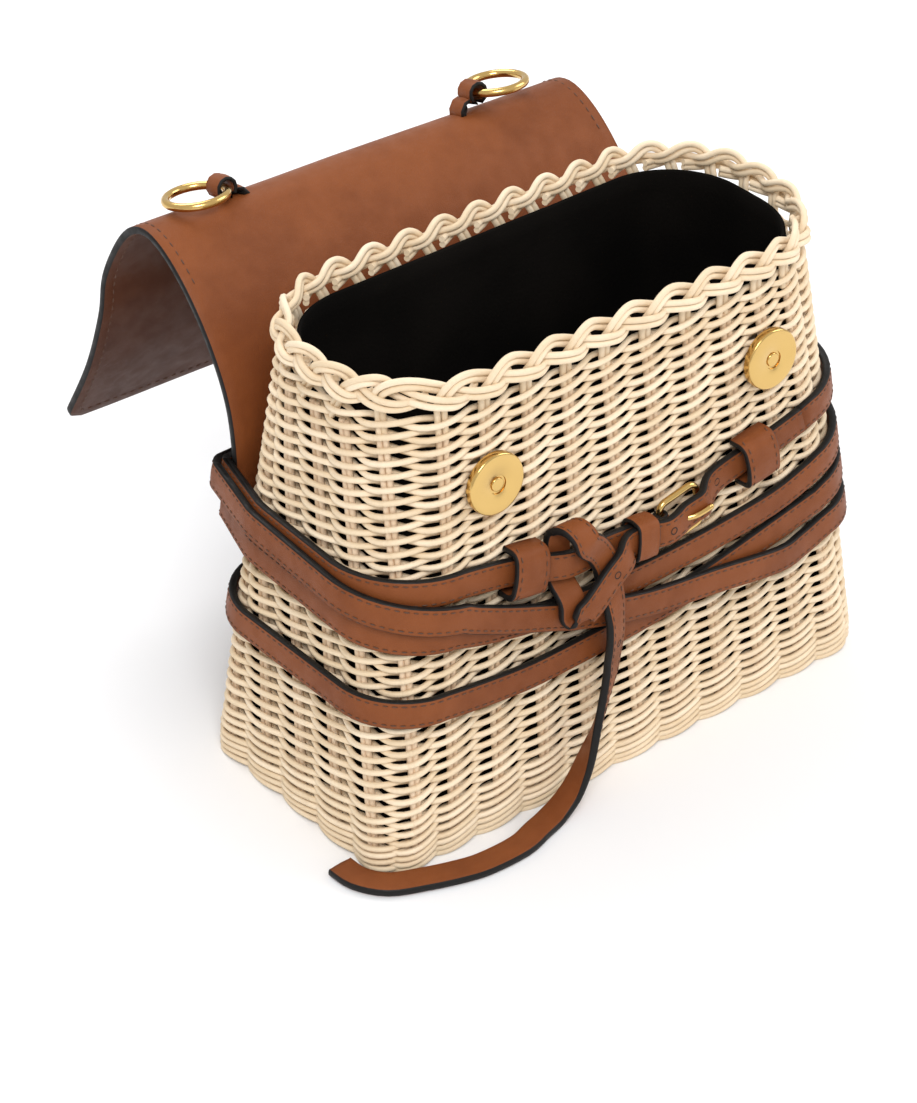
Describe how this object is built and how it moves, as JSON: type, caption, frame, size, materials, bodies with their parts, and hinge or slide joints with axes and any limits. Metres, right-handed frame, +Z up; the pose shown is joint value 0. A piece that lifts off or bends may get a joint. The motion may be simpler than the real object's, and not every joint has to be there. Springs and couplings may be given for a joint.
{
  "type": "wicker basket handbag",
  "caption": "Tapered woven reed basket bag with rounded corners, a leather flap thrown open, two magnetic snaps, two rings and a long belt wound round it and knotted",
  "frame": {"origin": "middle of the base, on the floor", "axes": "X along the front, Y to the back, Z up"},
  "size_m": [0.23, 0.2216, 0.1845],
  "materials": {
    "reed": "natural peeled reed, matt",
    "leather": "smooth cognac leather with black painted edges",
    "suede": "near-black suede",
    "gold": "polished gold plating",
    "steel": "plain"
  },
  "bodies": {
    "basket": {"basket_wall": "reed", "basket_base": "reed", "rim_braid": "reed", "lining": "suede", "snap_disc_left": "gold", "snap_disc_right": "gold", "snap_washer_left": "steel", "snap_washer_right": "steel", "flap_root": "leather", "belt_turn_1": "leather", "belt_turn_2": "leather", "belt_turn_3": "leather", "belt_turn_4": "leather", "belt_end": "leather", "belt_loop_left": "leather", "belt_loop_right": "leather", "buckle_frame": "gold", "buckle_prong": "gold"},
    "flap": {"flap": "leather", "flap_magnet_left": "steel", "flap_magnet_right": "steel", "ring_tab_left": "leather", "ring_tab_right": "leather"},
    "ring_left": {"ring_left": "gold"},
    "ring_right": {"ring_right": "gold"},
    "keeper": {"keeper": "leather"}
  },
  "joints": [
    {"name": "flap_hinge", "type": "hinge", "parent": "basket", "child": "flap", "pos_m": [0, 0.0508, 0.133], "axis": [1, 0, 0], "range_deg": [-14, 40]},
    {"name": "ring_left_swing", "type": "hinge", "parent": "flap", "child": "ring_left", "pos_m": [-0.0595, 0.09725, 0.17947], "axis": [0, 0.9781, -0.2079], "range_deg": [0, 140]},
    {"name": "ring_right_swing", "type": "hinge", "parent": "flap", "child": "ring_right", "pos_m": [0.048, 0.09725, 0.17947], "axis": [0, -0.9781, 0.2079], "range_deg": [0, 140]},
    {"name": "keeper_slide", "type": "slide", "parent": "basket", "child": "keeper", "axis": [0.9965, 0.005, -0.0834], "range_m": [-0.0008, 0.0008]}
  ]
}
